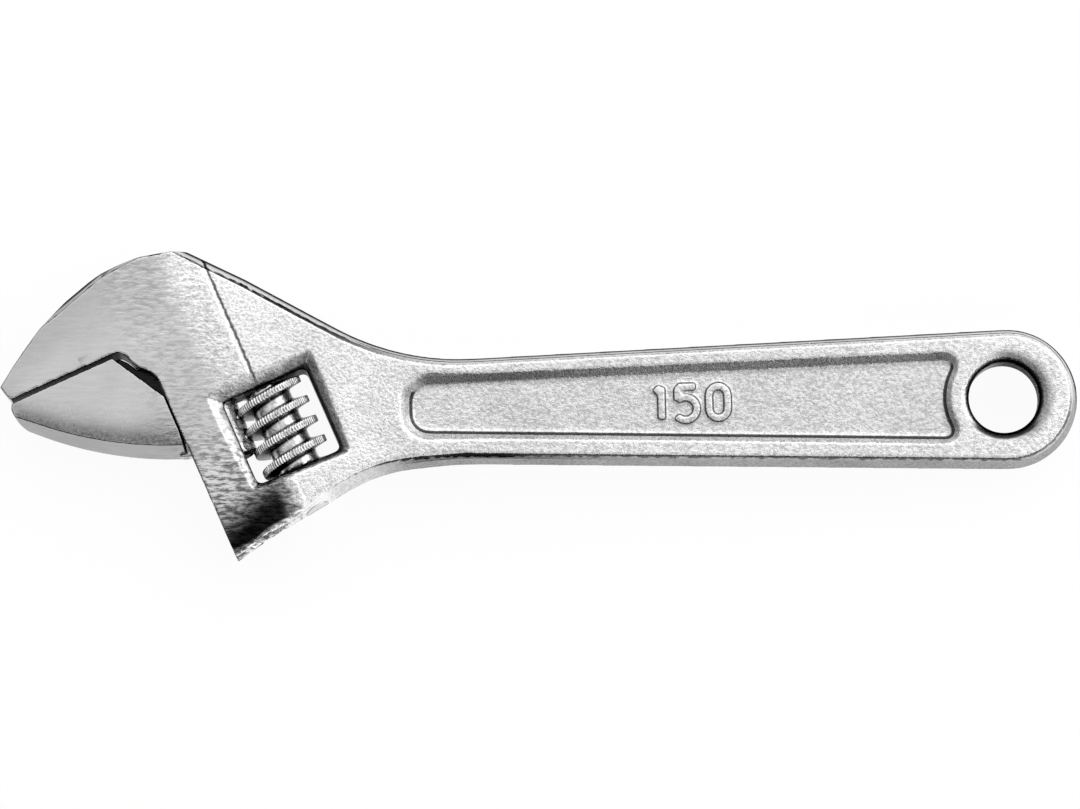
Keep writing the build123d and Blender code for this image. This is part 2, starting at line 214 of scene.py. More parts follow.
def head_coordinates(points):
    """u, v and w in millimetres of an array of points in metres."""
    local = points / MM - HEAD_ORIGIN
    return local @ U_AXIS, local @ V_AXIS, local[:, 2]


def read_points(mesh):
    """A mesh's vertices as an array."""
    points = np.empty(len(mesh.vertices) * 3)
    mesh.vertices.foreach_get("co", points)
    return points.reshape(-1, 3)


def write_points(mesh, points):
    """Moves a mesh's vertices to the rows of an array."""
    mesh.vertices.foreach_set("co", points.ravel())
    mesh.update()


def new_piece(name, mesh):
    """An object of that mesh, linked to the scene."""
    piece = bpy.data.objects.new(name, mesh)
    bpy.context.scene.collection.objects.link(piece)
    return piece


def with_modifiers_applied(piece):
    """Bakes a piece's modifiers into its mesh."""
    graph = bpy.context.evaluated_depsgraph_get()
    mesh = bpy.data.meshes.new_from_object(piece.evaluated_get(graph))
    piece.modifiers.clear()
    piece.data = mesh
    return piece


def in_figures(points):
    """Whether points lie on the panel's floor around the raised figures, on either face."""
    x, y, z = (points / MM).T
    centre_x, centre_y = FIGURES_CENTRE
    half_x, half_y = FIGURES_HALF_SIZE
    in_plan = (np.abs(x - centre_x) < half_x) & (np.abs(y - centre_y) < half_y)
    return in_plan & (np.abs(z) < FIGURES_TOP)


def soften(piece, rounds):
    """Rounds the edges behind the ground front, where the forging keeps its soft skin."""
    points = read_points(piece.data)
    edges = np.empty(len(piece.data.edges) * 2, dtype=np.int64)
    piece.data.edges.foreach_get("vertices", edges)
    first, second = edges.reshape(-1, 2).T
    count = len(points)
    neighbours = np.bincount(edges, minlength=count)
    share = SOFTENING * smoothstep(*SOFT_SKIN_U, head_coordinates(points)[0])
    share[in_figures(points)] = 0.0
    for _ in range(rounds):
        for axis in range(3):
            line = points[:, axis]
            total = np.bincount(first, line[second], count) + np.bincount(second, line[first], count)
            points[:, axis] = line + share * (total / neighbours - line)
    write_points(piece.data, points)


def refined_copy(node, name, voxel, rounding, soft_rounds, triangles):
    """A dense copy of a CAD node with its edges rounded, so that they catch the light."""
    piece = new_piece(name, frame["nodes"][node].data.copy())
    piece.data.materials.clear()
    remesh = piece.modifiers.new("remesh", "REMESH")
    remesh.mode = "VOXEL"
    remesh.voxel_size = voxel * MM
    remesh.use_smooth_shade = True
    smooth = piece.modifiers.new("round", "SMOOTH")
    smooth.factor = 0.5
    smooth.iterations = rounding
    with_modifiers_applied(piece)
    soften(piece, soft_rounds)
    faces = sum(len(polygon.vertices) - 2 for polygon in piece.data.polygons)
    thin = piece.modifiers.new("thin", "DECIMATE")
    thin.ratio = min(1.0, triangles / faces)
    return with_modifiers_applied(piece)


def roll_off(u, v):
    """How far the ground faces fall away towards the lower edges of the heel and the movable jaw."""
    heel_edge = HEEL_TIP_V + (u - LAND_U) * HEEL_EDGE_SLOPE
    near_heel = np.clip(1 - (v - heel_edge) / ROLL_WIDTH, 0.0, 1.0) * (u > JAW_BACK_U)
    near_heel *= 1 - smoothstep(ROLL_END_U, CREASE_U, u)
    jaw_edge = np.interp(u, JAW_EDGE_U, JAW_EDGE_V)
    near_jaw = np.clip(1 - (v - jaw_edge) / ROLL_WIDTH, 0.0, 1.0) * (u < JAW_BACK_U)
    return HEEL_ROLL_DEPTH * near_heel**2 + JAW_ROLL_DEPTH * near_jaw**2


def face_height(u, v):
    """Half thickness of the head and handle at a plan point, in millimetres."""
    crown = (v - CROWN_CENTRE_V) ** 2 / (2 * CROWN_RADIUS)
    beyond = np.maximum(0.0, TIP_ARC_START_U - u)
    ground = HEAD_HALF_THICKNESS - beyond**2 / (2 * TIP_ARC_RADIUS) - crown
    along = np.clip((u - CREASE_U) / (SLOPE_END_U - CREASE_U), 0.0, 1.0)
    step = CREASE_STEP * smoothstep(*CREASE_STEP_V, v)
    slope = (1 - along) * (HEAD_HALF_THICKNESS - step - crown) + along * HANDLE_HALF_THICKNESS
    return np.where(u < CREASE_U, ground, slope)


def true_faces(piece):
    """Puts the broad faces on their exact curved surface, and rolls them off towards the lower edges."""
    points = read_points(piece.data)
    u, v, w = head_coordinates(points)
    height = face_height(u, v)
    off = np.abs(w) - height
    share = 1 - smoothstep(*FACE_TOLERANCE, np.abs(off))
    # On the heel only what is above the shank's bore moves, so that the bore stays round
    low = np.where(u > JAW_BACK_U, BORE_TOP, height - JAW_ROLL_REACH)
    skin = np.clip((np.abs(w) - low) / (height - low), 0.0, 1.0)
    drop = off * share + roll_off(u, v) * skin
    points[:, 2] -= np.sign(w) * drop * MM
    points[:, 2] = np.clip(points[:, 2], cad_box[0].z, cad_box[1].z)
    write_points(piece.data, points)


def shade_smooth(piece, angle=None):
    """Smooth shading, with edges sharper than the angle kept."""
    piece.data.shade_smooth()
    if angle is not None:
        piece.data.set_sharp_from_angle(angle=radians(angle))


# Nodes

def node_tree(name):
    """A new material with its node tree and its Principled shader."""
    material = bpy.data.materials.new(name)
    material.use_nodes = True
    tree = material.node_tree
    return material, tree, tree.nodes["Principled BSDF"]


def add(tree, kind, values=None, **settings):
    """A node with its settings, and each input linked to a socket or set to a value."""
    node = tree.nodes.new(kind)
    for key, value in settings.items():
        setattr(node, key, value)
    for key, value in (values or {}).items():
        if isinstance(value, bpy.types.NodeSocket):
            tree.links.new(value, node.inputs[key])
        else:
            node.inputs[key].default_value = value
    return node


def calculated(tree, operation, *values):
    """What a Math node makes of one to three values."""
    return add(tree, "ShaderNodeMath", dict(enumerate(values)), operation=operation).outputs[0]


def product(tree, first, second):
    """The product of two values."""
    return calculated(tree, "MULTIPLY", first, second)


def all_of(tree, *shares):
    """The product of several shares."""
    total = shares[0]
    for share in shares[1:]:
        total = product(tree, total, share)
    return total


def scaled(tree, value, factor, offset=0.0):
    """value times factor plus offset."""
    return calculated(tree, "MULTIPLY_ADD", value, factor, offset)


def size_of(tree, value):
    """The value without its sign."""
    return calculated(tree, "ABSOLUTE", value)


def length_of(tree, first, second):
    """The length of a vector of two components."""
    squares = calculated(tree, "ADD", product(tree, first, first), product(tree, second, second))
    return calculated(tree, "SQRT", squares)


def changed(tree, share, factor):
    """1 where share is 0, and factor where it is 1."""
    return scaled(tree, share, factor - 1.0, 1.0)


def mixed(tree, share, low, high):
    """low where share is 0, high where it is 1."""
    values = {"Factor": share, "A": low, "B": high}
    return add(tree, "ShaderNodeMix", values, data_type="FLOAT").outputs["Result"]


def ranged(tree, value, low, high, new_low, new_high):
    """value mapped smoothly from one range to another and held inside it."""
    mapped = add(
        tree,
        "ShaderNodeMapRange",
        {"Value": value, "From Min": low, "From Max": high, "To Min": new_low, "To Max": new_high},
        clamp=True,
        interpolation_type="SMOOTHSTEP",
    )
    return mapped.outputs["Result"]


def rise(tree, value, low, high):
    """0 below a range, and 1 above it."""
    return ranged(tree, value, low, high, 0.0, 1.0)


def fall(tree, value, low, high):
    """1 below a range, and 0 above it."""
    return ranged(tree, value, low, high, 1.0, 0.0)


def between(tree, value, low, high, soft):
    """1 where a value lies between low and high, and 0 past soft ends."""
    return product(tree, rise(tree, value, low - soft, low), fall(tree, value, high, high + soft))


def coordinates(tree, scale):
    """The piece's own coordinates, each axis multiplied by its scale in patterns per millimetre."""
    place = add(tree, "ShaderNodeTexCoord").outputs["Object"]
    per_metre = [value / MM for value in scale]
    return add(tree, "ShaderNodeVectorMath", {0: place, 1: per_metre}, operation="MULTIPLY").outputs[0]


def noise(tree, scale, detail=2.0, roughness=0.5):
    """A noise pattern with that many features per millimetre along X, Y and Z."""
    values = {"Vector": coordinates(tree, scale), "Scale": 1.0, "Detail": detail, "Roughness": roughness}
    return add(tree, "ShaderNodeTexNoise", values).outputs["Fac"]


def raggedness(tree, depth):
    """A noise of that depth around 0, which makes the edge of a shade ragged."""
    return scaled(tree, noise(tree, RAGGED_EDGE, detail=3.0), depth, -depth / 2)


def grey(tree, value):
    """A neutral colour from a value."""
    return add(tree, "ShaderNodeCombineColor", {0: value, 1: value, 2: value}).outputs[0]


def bump(tree, height, strength, depth, below=None):
    """A bump of that height pattern, in millimetres of depth, over the one below it."""
    values = {"Height": height, "Strength": strength, "Distance": depth * MM}
    if below is not None:
        values["Normal"] = below
    return add(tree, "ShaderNodeBump", values).outputs["Normal"]


def distance_along(tree, axis, origin):
    """Millimetres along an axis from an origin given in millimetres."""
    place = add(tree, "ShaderNodeTexCoord").outputs["Object"]
    per_metre = [value / MM for value in axis]
    along = add(tree, "ShaderNodeVectorMath", {0: place, 1: per_metre}, operation="DOT_PRODUCT")
    return calculated(tree, "SUBTRACT", along.outputs["Value"], float(np.dot(axis, origin)))


def facing_along(tree, axis):
    """The cosine of the angle between a face's direction and an axis."""
    facing = add(tree, "ShaderNodeNewGeometry").outputs["Normal"]
    along = add(tree, "ShaderNodeVectorMath", {0: facing, 1: list(axis)}, operation="DOT_PRODUCT")
    return along.outputs["Value"]


def steepness_of(tree):
    """1 on level faces, and 0 on upright ones."""
    return size_of(tree, facing_along(tree, UP))


# Painted light and shade on the forging's parts

def mouth_shade(tree, u):
    """Painted shade on the jaws' own faces, which look straight along the worm's axis."""
    straight = rise(tree, size_of(tree, facing_along(tree, V_AXIS)), 0.93, 0.99)
    in_mouth = fall(tree, u, -14.0, -13.0)
    return changed(tree, product(tree, straight, in_mouth), MOUTH_SHADE)


def mouth_root_shade(tree, u, v, w):
    """Painted shade, nearly black, in the recess at the root of the mouth."""
    recess = product(tree, between(tree, u, *MOUTH_ROOT_U, 0.3), between(tree, v, *MOUTH_ROOT_V, 0.3))
    below_face = fall(tree, w, 4.3, 4.6)
    return changed(tree, product(tree, recess, below_face), MOUTH_ROOT_SHADE)


def hollow_shade(tree, darkest):
    """Painted shade, darker in hollow corners."""
    pointiness = add(tree, "ShaderNodeNewGeometry").outputs["Pointiness"]
    return ranged(tree, pointiness, 0.44, 0.495, darkest, 1.0)


def face_shade(tree, u, v):
    """Painted light and shade over the face: a darker peak, and a brighter lower head and end."""
    peak = product(tree, fall(tree, u, -8.0, -3.0), rise(tree, v, 18.0, 28.0))
    behind_crease = rise(tree, u, -1.5, 0.5)
    before_neck = fall(tree, u, 8.0, 14.0)
    lower_head = all_of(tree, behind_crease, before_neck, fall(tree, v, -2.0, 3.0))
    handle_end = rise(tree, u, 70.0, 105.0)
    return all_of(
        tree,
        changed(tree, peak, PEAK_SHADE),
        changed(tree, lower_head, LOWER_HEAD_SHADE),
        changed(tree, handle_end, HANDLE_END_SHADE),
    )


def heel_shade(tree, u, v, w):
    """Painted shade: the ground face darkens towards the lower edge of the heel."""
    edge_v = scaled(tree, u, HEEL_EDGE_SLOPE, HEEL_TIP_V - LAND_U * HEEL_EDGE_SLOPE)
    near_edge = fall(tree, calculated(tree, "SUBTRACT", v, edge_v), 1.5, 8.0)
    before_crease = fall(tree, u, -5.0, -1.0)
    upper_face = rise(tree, w, 4.0, 4.2)
    low = fall(tree, v, -3.0, 0.0)
    return changed(tree, all_of(tree, near_edge, before_crease, upper_face, low), HEEL_SHADE)


def crease_line(tree, u, v):
    """Painted shade: a dark line beside the crease, above the worm window."""
    place = calculated(tree, "ADD", u, scaled(tree, noise(tree, WOBBLE), 0.5, -0.25))
    near_side = rise(tree, place, CREASE_U + 0.25, CREASE_U + 0.45)
    far_side = fall(tree, place, CREASE_U + 0.6, CREASE_U + 0.85)
    above_window = ranged(tree, v, 6.0, 8.0, 0.0, CREASE_DARKNESS)
    return scaled(tree, all_of(tree, near_side, far_side, above_window), -1.0, 1.0)


def in_window(tree, u, v):
    """1 over the worm window and the bevel around it."""
    return product(tree, between(tree, u, *WINDOW_U, 0.5), between(tree, v, *WINDOW_V, 0.5))


def outside_panel(tree, half_width=PANEL_OUTER_HALF_WIDTH):
    """1 outside a tapered strip along the handle with that half width at the hole, and 0 inside it."""
    x = distance_along(tree, X_AXIS, ORIGIN)
    y = distance_along(tree, Y_AXIS, ORIGIN)
    across = size_of(tree, distance_along(tree, (PANEL_SKEW, 1.0, 0.0), ORIGIN))
    beside = calculated(tree, "SUBTRACT", across, scaled(tree, x, PANEL_TAPER))
    past_sides = rise(tree, beside, half_width - 0.1, half_width + 0.1)
    past_hole = product(tree, rise(tree, length_of(tree, x, y), 7.2, 7.6), rise(tree, x, -3.0, -2.0))
    return calculated(tree, "MAXIMUM", past_sides, past_hole)


def far_side_shade(tree, u, level, ragged_level):
    """Painted light and shade on the sides at +Y: dark at the parting line, bright above it, and dark again
    under the neck's rim.
    """
    neck = fall(tree, u, 8.0, 24.0)
    under_rim = mixed(tree, neck, 1.0, ranged(tree, ragged_level, 0.65, 0.8, 1.0, FAR_RIM_SHADE))
    return product(tree, ranged(tree, level, 0.1, 0.5, PARTING_SHADE, FAR_SIDE_SHADE), under_rim)


def near_side_shade(tree, u, ragged_level):
    """Painted shade on the sides at -Y: darker, with a dark line under the rim that is broadest at the
    waist.
    """
    waist = between(tree, u, 12.0, 26.0, 6.0)
    raised_level = calculated(tree, "ADD", ragged_level, scaled(tree, waist, 0.1))
    darkest = mixed(tree, waist, NEAR_RIM_SHADE, WAIST_RIM_SHADE)
    under_rim = ranged(tree, raised_level, 0.82, 0.93, 1.0, darkest)
    handle = rise(tree, u, 3.0, 13.0)
    return product(tree, under_rim, mixed(tree, handle, NEAR_HEAD_SHADE, NEAR_HANDLE_SHADE))


def side_shade(tree, u, v, w):
    """Painted light and shade on the drafted sides, and a painted highlight on the heel's foot. A level is
    a share of the height above the parting plane.
    """
    half_height = ranged(tree, u, CREASE_U, SLOPE_END_U, HEAD_HALF_THICKNESS, HANDLE_HALF_THICKNESS)
    level = calculated(tree, "DIVIDE", w, half_height)
    ragged_level = calculated(tree, "ADD", level, raggedness(tree, 0.5))
    far = far_side_shade(tree, u, level, ragged_level)
    near = near_side_shade(tree, u, ragged_level)
    side = mixed(tree, rise(tree, facing_along(tree, Y_AXIS), -0.3, 0.3), near, far)
    steepness = steepness_of(tree)
    outer = product(tree, outside_panel(tree), changed(tree, in_window(tree, u, v), 0.0))
    drafted = product(tree, outer, fall(tree, steepness, 0.84, 0.9))
    under_heel = product(tree, fall(tree, v, -10.5, -9.5), between(tree, u, -11.0, 1.0, 2.5))
    foot = product(tree, under_heel, fall(tree, steepness, 0.86, 0.92))
    return mixed(tree, foot, mixed(tree, drafted, 1.0, side), FOOT_SHADE)


def window_shade(tree, u, v, w):
    """Painted light and shade on the bevel around the worm window: bright and speckled on its left, darkest
    low down, and a dark line along its inner edge.
    """
    across = facing_along(tree, V_AXIS)
    outward = facing_along(tree, U_AXIS)
    lower = ranged(tree, across, 0.15, 0.4, 0.0, 0.85)
    upper = ranged(tree, across, -0.4, -0.15, 0.75, 0.0)
    right = ranged(tree, outward, -0.4, -0.15, 0.65, 0.0)
    left = rise(tree, outward, 0.15, 0.4)
    bevel_shade_share = calculated(tree, "MAXIMUM", calculated(tree, "MAXIMUM", lower, upper), right)
    depth = calculated(tree, "ADD", w, raggedness(tree, 1.2))
    painted_bevel_shade = product(tree, bevel_shade_share, ranged(tree, depth, 4.2, 5.3, 1.0, 0.25))
    speckled = product(tree, ranged(tree, depth, 4.6, 5.0, 0.5, -0.06), left)
    inside = in_window(tree, u, v)
    bevel = scaled(tree, product(tree, calculated(tree, "ADD", painted_bevel_shade, speckled), inside), -1.0, 1.0)
    edge = product(tree, inside, between(tree, w, 3.5, 4.0, 0.2))
    return product(tree, bevel, changed(tree, edge, WINDOW_EDGE_SHADE))


def panel_shade(tree, u, w):
    """Painted shade and light on the panel: a darker floor, a dark line at the foot of its walls, and its
    dark and lit ends.
    """
    handle = rise(tree, u, 12.0, 16.0)
    floor = product(tree, handle, fall(tree, w, 2.5, 3.2))
    leaning = fall(tree, steepness_of(tree), 0.86, 0.94)
    foot = between(tree, w, PANEL_HALF_THICKNESS + 0.05, PANEL_HALF_THICKNESS + 0.5, 0.05)
    lower_wall = rise(tree, facing_along(tree, (-0.4, 0.92, 0.0)), -0.15, 0.15)
    on_floor = fall(tree, outside_panel(tree, PANEL_FLOOR_HALF_WIDTH), 0.0, 1.0)
    outlined = calculated(tree, "MAXIMUM", lower_wall, on_floor)
    line = all_of(tree, handle, leaning, foot, outlined)
    upper_left = rise(tree, facing_along(tree, (0.5, -0.87, 0.0)), 0.2, 0.4)
    corner = all_of(tree, handle, fall(tree, u, 25.0, 50.0), upper_left, between(tree, w, 2.4, 3.5, 0.2))
    left_wall = rise(tree, facing_along(tree, X_AXIS), 0.25, 0.5)
    lit = all_of(tree, handle, left_wall, between(tree, w, 2.8, 3.5, 0.1))
    return all_of(
        tree,
        changed(tree, floor, PANEL_FLOOR_SHADE),
        changed(tree, line, PANEL_LINE_SHADE),
        changed(tree, corner, PANEL_CORNER_SHADE),
        changed(tree, lit, PANEL_END_SHADE),
    )


def hole_shade(tree):
    """Painted shade: a dark ring inside the hanging hole, and darker crescents on its rim towards the end
    and below.
    """
    x = distance_along(tree, X_AXIS, ORIGIN)
    y = distance_along(tree, Y_AXIS, ORIGIN)
    radius = length_of(tree, x, y)
    bore = fall(tree, radius, HOLE_RADIUS + 0.03, HOLE_RADIUS + 0.1)
    rim = ranged(tree, radius, HOLE_RADIUS + 0.3, HOLE_RADIUS + 0.7, HOLE_RING_SHADE, 1.0)
    towards_end = calculated(tree, "ADD", scaled(tree, x, 0.95), scaled(tree, y, 0.31))
    at_end = rise(tree, calculated(tree, "DIVIDE", towards_end, radius), -0.2, 0.5)
    crescent = product(tree, at_end, fall(tree, radius, HOLE_RADIUS + 1.0, HOLE_RADIUS + 2.6))
    below_hole = fall(tree, y, -4.5, -2.5)
    under = product(tree, below_hole, fall(tree, radius, HOLE_RADIUS + 0.8, HOLE_RADIUS + 1.4))
    return all_of(
        tree,
        mixed(tree, bore, rim, HOLE_BORE_SHADE),
        changed(tree, crescent, CRESCENT_SHADE),
        changed(tree, under, UNDER_HOLE_SHADE),
    )


def body_shades(tree, u, v, w):
    """The painted light and shade over the parts of the body's skin."""
    return (
        face_shade(tree, u, v),
        side_shade(tree, u, v, w),
        window_shade(tree, u, v, w),
        panel_shade(tree, u, w),
        hole_shade(tree),
        heel_shade(tree, u, v, w),
        crease_line(tree, u, v),
    )


def jaw_shades(tree, u, v, w):
    """Painted shade on the movable jaw: darker sides, dark edges, and dark flanks on the teeth of its
    bright rack.
    """
    steepness = steepness_of(tree)
    sides = changed(tree, between(tree, steepness, 0.18, 0.5, 0.08), JAW_SIDE_SHADE)
    edges = changed(tree, between(tree, steepness, 0.45, 0.92, 0.03), JAW_EDGE_SHADE)
    along_worm = size_of(tree, facing_along(tree, V_AXIS))
    flanks = ranged(tree, along_worm, 0.25, 0.5, 1.0, RACK_FLANK_SHADE)
    rack = rise(tree, u, JAW_BACK_U, RACK_ROOT_U)
    return (mixed(tree, rack, product(tree, sides, edges), flanks),)


# Materials

def plated_forging(name, ground_edge=-4.0, ground_soft=5.0, shades_of=body_shades):
    """Bright plating: finely brushed over the ground jaws, and a sandy grain over the rest, under painted
    light and shade.
    """
    material, tree, shader = node_tree(name)
    u = distance_along(tree, U_AXIS, HEAD_ORIGIN)
    v = distance_along(tree, V_AXIS, HEAD_ORIGIN)
    w = size_of(tree, distance_along(tree, UP, HEAD_ORIGIN))
    forged = rise(tree, u, ground_edge - ground_soft, ground_edge)
    near_crease = product(tree, rise(tree, u, -19.0, -11.0), fall(tree, u, -2.5, -1.3))
    lower_crease = product(tree, near_crease, fall(tree, v, -4.0, 6.0))
    grain = noise(tree, GRAIN, detail=4.0, roughness=0.6)
    waves = noise(tree, WAVES, detail=1.0)
    brushing = noise(tree, BRUSHING, detail=4.0, roughness=0.65)
    streaks = noise(tree, STREAKS, detail=2.0, roughness=0.55)
    normal = bump(tree, brushing, 0.5, 0.005)
    normal = bump(tree, product(tree, streaks, near_crease), 1.0, 0.08, normal)
    normal = bump(tree, product(tree, grain, forged), 1.0, 0.12, normal)
    normal = bump(tree, product(tree, waves, forged), 1.0, 0.06, normal)
    sandy = ranged(tree, grain, 0.35, 0.62, 0.76, 1.1)
    streaky = ranged(tree, streaks, 0.35, 0.6, 0.8, 1.06)
    mottled = ranged(tree, streaks, 0.35, 0.6, 0.45, 1.25)
    brushed = ranged(tree, brushing, 0.35, 0.65, 0.95, 1.03)
    tone = all_of(
        tree,
        ranged(tree, u, ground_edge - ground_soft, ground_edge, GROUND_TONE, FORGED_TONE),
        mixed(tree, forged, 1.0, sandy),
        mixed(tree, near_crease, 1.0, streaky),
        mixed(tree, lower_crease, 1.0, mottled),
        mixed(tree, forged, brushed, 1.0),
    )
    # Random patches in the plating, times the painted light and shade of the parts
    shade = all_of(
        tree,
        ranged(tree, noise(tree, PATCHES), 0.3, 0.7, 0.94, 1.04),
        mouth_root_shade(tree, u, v, w),
        mouth_shade(tree, u),
        hollow_shade(tree, HOLLOW_SHADE),
        *shades_of(tree, u, v, w),
    )
    shader.inputs["Metallic"].default_value = 1.0
    tree.links.new(grey(tree, product(tree, tone, shade)), shader.inputs["Base Color"])
    # Metal is bright at grazing angles whatever its colour, so the shade goes there too
    tree.links.new(grey(tree, rise(tree, shade, 0.0, 1.0)), shader.inputs["Specular Tint"])
    tree.links.new(ranged(tree, grain, 0.3, 0.7, 0.2, 0.3), shader.inputs["Roughness"])
    tree.links.new(normal, shader.inputs["Normal"])
    return material


def knurled_thread(name):
    """Plating on the worm with painted light and shade: bright crests and root, and dark flanks and
    outlines between them.
    """
    material, tree, shader = node_tree(name)
    u = distance_along(tree, U_AXIS, HEAD_ORIGIN)
    w = distance_along(tree, UP, HEAD_ORIGIN)
    radius = length_of(tree, u, w)
    speckle = noise(tree, WORM_SPECKLE, detail=3.0, roughness=0.6)
    crest = rise(tree, radius, WORM_RADIUS - 0.45, WORM_RADIUS - 0.2)
    root = fall(tree, radius, WORM_ROOT_RADIUS + 0.05, WORM_ROOT_RADIUS + 0.35)
    lit = calculated(tree, "MAXIMUM", crest, root)
    lit_tone = product(tree, ranged(tree, speckle, 0.35, 0.6, 0.6, 1.0), THREAD_LIT_TONE)
    along_worm = size_of(tree, facing_along(tree, V_AXIS))
    tone = all_of(
        tree,
        mixed(tree, lit, THREAD_FLANK_SHADE, lit_tone),
        ranged(tree, along_worm, 0.2, 0.5, 1.0, THREAD_OUTLINE_SHADE),
        hollow_shade(tree, THREAD_HOLLOW_SHADE),
    )
    shader.inputs["Metallic"].default_value = 1.0
    tree.links.new(grey(tree, tone), shader.inputs["Base Color"])
    tree.links.new(ranged(tree, speckle, 0.3, 0.7, 0.18, 0.3), shader.inputs["Roughness"])
    tree.links.new(bump(tree, speckle, 1.0, 0.05), shader.inputs["Normal"])
    return material


def turned_steel(name, shade, roughness, rings):
    """Plain steel with fine turning marks around v, that many rings to the millimetre."""
    material, tree, shader = node_tree(name)
    v = distance_along(tree, V_AXIS, HEAD_ORIGIN)
    turning = {"W": product(tree, v, rings), "Scale": 1.0}
    marks = add(tree, "ShaderNodeTexNoise", turning, noise_dimensions="1D").outputs["Fac"]
    speckle = noise(tree, STEEL_SPECKLE)
    tone = ranged(tree, speckle, 0.3, 0.7, shade * 0.9, shade * 1.05)
    shader.inputs["Metallic"].default_value = 1.0
    tree.links.new(grey(tree, tone), shader.inputs["Base Color"])
    tree.links.new(ranged(tree, speckle, 0.3, 0.7, roughness, roughness + 0.08), shader.inputs["Roughness"])
    tree.links.new(bump(tree, marks, 0.3, 0.01), shader.inputs["Normal"])
    return material


def pale_floor(name):
    """A plain pale surface, with a glow that keeps it white all around the wrench."""
    material, tree, shader = node_tree(name)
    tone = ranged(tree, noise(tree, FLOOR_PATCHES), 0.3, 0.7, 0.07, 0.08)
    tree.links.new(grey(tree, tone), shader.inputs["Base Color"])
    shader.inputs["Roughness"].default_value = 0.9
    shader.inputs["Specular IOR Level"].default_value = 0.0
    shader.inputs["Emission Color"].default_value = (1.0, 1.0, 1.0, 1.0)
    shader.inputs["Emission Strength"].default_value = FLOOR_GLOW
    return material


# Pieces

def give(piece, material):
    """Makes the material the piece's only one."""
    piece.data.materials.clear()
    piece.data.materials.append(material)


def make_body():
    """Handle and fixed jaw."""
    piece = refined_copy(
        "wrench_body",
        "forged_body",
        voxel=0.2,
        rounding=3,
        soft_rounds=6,
        triangles=190000,
    )
    true_faces(piece)
    shade_smooth(piece)
    give(piece, plated_forging("plated forging"))
    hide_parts("wrench_body")
    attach(piece, "body")


def make_jaw():
    """Movable jaw with its rack."""
    piece = refined_copy(
        "movable_jaw",
        "sliding_jaw",
        voxel=0.13,
        rounding=3,
        soft_rounds=0,
        triangles=120000,
    )
    true_faces(piece)
    shade_smooth(piece)
    give(piece, plated_forging("plated jaw", ground_edge=-2.0, shades_of=jaw_shades))
    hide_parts("movable_jaw")
    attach(piece, "jaw")


def thread_profile():
    """Offsets along v and shares of the thread's height, from the middle of one root to the next."""
    half = PITCH / 2
    root = [(-half, 0.0), (-half * 0.75, 0.0), (-THREAD_ROOT_HALF - 0.1, 0.0)]
    flank = [(-THREAD_ROOT_HALF + 0.03, 0.12), (-THREAD_CREST_HALF - 0.03, 0.86)]
    crest = [(-THREAD_CREST_HALF, 0.95), (-THREAD_CREST_HALF + WORM_CHAMFER, 1.0), (-0.1, 1.0)]
    lower = root + flank + crest
    upper = [(-offset, height) for offset, height in reversed(lower)]
    return lower + upper[:-1]


def thread_surface():
    """The worm's outside: angles around it, and v and radius of each row of points at those angles."""
    angles = np.arange(KNURLS * COLUMNS_PER_KNURL) * 2 * pi / (KNURLS * COLUMNS_PER_KNURL)
    profile = thread_profile()
    turns = range(-TURNS_EACH_WAY, TURNS_EACH_WAY + 1)
    rows = np.array([(turn * PITCH + offset, height) for turn in turns for offset, height in profile])
    half = WORM_LENGTH / 2
    climb = PITCH * angles[None, :] / (2 * pi)
    along = THREAD_PHASE_V + rows[:, :1] + climb
    ends = np.clip(along, -half, half)
    # Rows past an end lie on it, with the thread's height there
    phase = (ends - THREAD_PHASE_V - climb + PITCH / 2) % PITCH - PITCH / 2
    one_pitch = np.array(profile + [(PITCH / 2, 0.0)])
    height = np.where(along == ends, rows[:, 1:], np.interp(phase, one_pitch[:, 0], one_pitch[:, 1]))
    radius = WORM_ROOT_RADIUS + (WORM_RADIUS - WORM_ROOT_RADIUS) * height
    across_knurl = np.abs((angles * KNURLS / (2 * pi)) % 1.0 - 0.5) * 2
    notch = KNURL_DEPTH * (1 - smoothstep(*KNURL_FLANK, across_knurl))
    radius -= notch[None, :] * smoothstep(KNURLED_HEIGHT, 1.0, height)
    radius -= WORM_CHAMFER * smoothstep(half - WORM_CHAMFER, half, np.abs(ends))
    return angles, ends, radius


def worm_mesh():
    """The worm's points and faces as one closed surface, bored for the pin and with the spring's pocket."""
    angles, thread_v, thread_radius = thread_surface()
    half = WORM_LENGTH / 2
    pocket_v = SPRING_POCKET_DEPTH - half
    around = np.ones_like(angles)
    pocket_rings_v = np.outer((pocket_v, pocket_v, -half), around)
    pocket_rings_radius = np.outer((WORM_BORE_RADIUS, SPRING_POCKET_RADIUS, SPRING_POCKET_RADIUS), around)
    v = np.vstack((pocket_rings_v, thread_v, half * around))
    radius = np.vstack((pocket_rings_radius, thread_radius, WORM_BORE_RADIUS * around))
    u = radius * np.sin(angles)
    w = radius * np.cos(angles)
    points = HEAD_ORIGIN + u.ravel()[:, None] * U_AXIS + v.ravel()[:, None] * V_AXIS
    points[:, 2] += w.ravel()
    # The last ring closes on the first through the bore
    nearer = np.arange(v.size).reshape(v.shape)
    further = np.roll(nearer, -1, axis=0)
    quads = np.stack((nearer, np.roll(nearer, -1, 1), np.roll(further, -1, 1), further), axis=-1)
    return points * MM, quads.reshape(-1, 4)


def make_worm():
    """The worm, with a helical thread whose crest is knurled with notches along the axis."""
    points, quads = worm_mesh()
    mesh = bpy.data.meshes.new("knurled_worm")
    mesh.from_pydata(points.tolist(), [], quads.tolist())
    piece = new_piece("knurled_worm", mesh)
    weld = piece.modifiers.new("weld", "WELD")
    weld.merge_threshold = WELD_DISTANCE * MM
    with_modifiers_applied(piece)
    shade_smooth(piece, angle=35)
    give(piece, knurled_thread("plated worm"))
    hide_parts("worm")
    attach(piece, "worm")


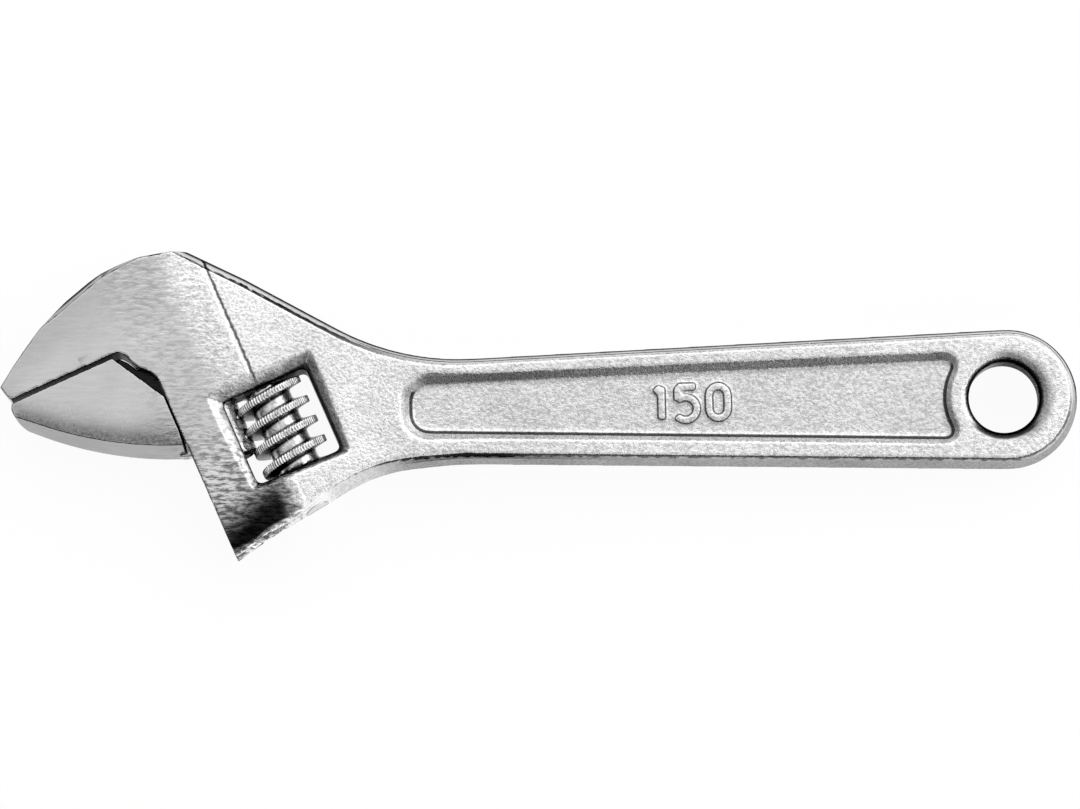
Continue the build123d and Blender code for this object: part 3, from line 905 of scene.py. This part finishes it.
def finish_cad_pieces():
    """Materials of the pin and the spring, whose CAD shapes are right as they are."""
    finishes = (("worm_pin", "pin_steel", PIN_SHADE), ("worm_spring", "spring_steel", SPRING_SHADE))
    for node, slot, shade in finishes:
        piece = frame["nodes"][node]
        steel = turned_steel(slot.replace("_", " "), shade, roughness=0.3, rings=6.0)
        give(piece, steel)
        shade_smooth(piece, angle=40)


# Studio

def make_floor():
    """A plain floor under the wrench."""
    half = FLOOR_HALF_SIZE
    z = cad_box[0].z
    corners = [(-half, -half, z), (half, -half, z), (half, half, z), (-half, half, z)]
    mesh = bpy.data.meshes.new("floor")
    mesh.from_pydata(corners, [], [(0, 1, 2, 3)])
    floor = new_piece("floor", mesh)
    floor.data.materials.append(pale_floor("pale floor"))


def make_world():
    """A soft studio: light overhead, a brighter ring around it, and dark where the camera stands."""
    world = bpy.data.worlds.new("studio")
    bpy.context.scene.world = world
    world.use_nodes = True
    tree = world.node_tree
    direction = add(tree, "ShaderNodeTexCoord").outputs["Generated"]
    parts = add(tree, "ShaderNodeSeparateXYZ", {0: direction}).outputs
    x, y, z = parts["X"], parts["Y"], parts["Z"]
    ring = product(tree, fall(tree, z, 0.75, 0.95), rise(tree, z, 0.2, 0.45))
    horizon = product(tree, fall(tree, z, 0.15, 0.5), fall(tree, x, 0.3, 0.7))
    front = product(tree, fall(tree, y, -0.2, -0.11), rise(tree, y, -0.5, -0.38))
    low_front = product(tree, fall(tree, y, -0.75, -0.55), fall(tree, x, 0.35, 0.5))
    left = fall(tree, x, -0.7, -0.25)
    strength = all_of(
        tree,
        scaled(tree, ring, RING_LIGHT, OVERHEAD_LIGHT),
        changed(tree, horizon, HORIZON_SHADE),
        changed(tree, front, FRONT_SHADE),
        changed(tree, low_front, FRONT_SHADE),
        changed(tree, left, LEFT_SHADE),
    )
    studio = add(tree, "ShaderNodeBackground", {"Color": (1, 1, 1, 1), "Strength": strength})
    tree.links.new(studio.outputs[0], tree.nodes["World Output"].inputs["Surface"])


def make_camera():
    """A long lens almost straight above, leaning a little towards the lower jaw's side."""
    elevation = radians(CAMERA_ELEVATION)
    roll = radians(CAMERA_ROLL)
    back = Vector((0.0, -cos(elevation), sin(elevation)))
    level_right = Vector(X_AXIS)
    level_up = back.cross(level_right)
    right = level_right * cos(roll) - level_up * sin(roll)
    up = back.cross(right)
    data = bpy.data.cameras.new("camera")
    data.sensor_width = SENSOR_WIDTH
    data.lens = SENSOR_WIDTH * CAMERA_DISTANCE / VIEW_WIDTH
    data.clip_start = 0.01
    data.clip_end = 20.0
    camera = bpy.data.objects.new("camera", data)
    bpy.context.scene.collection.objects.link(camera)
    place = (Vector(CAMERA_TARGET) + back * CAMERA_DISTANCE) * MM
    turn = Matrix((right, up, back)).transposed().to_4x4()
    camera.matrix_world = Matrix.Translation(place) @ turn
    bpy.context.scene.camera = camera


bpy.context.scene.view_settings.view_transform = "Standard"
make_camera()
make_world()
make_floor()
make_body()
make_jaw()
make_worm()
finish_cad_pieces()

bpy.context.view_layer.update()
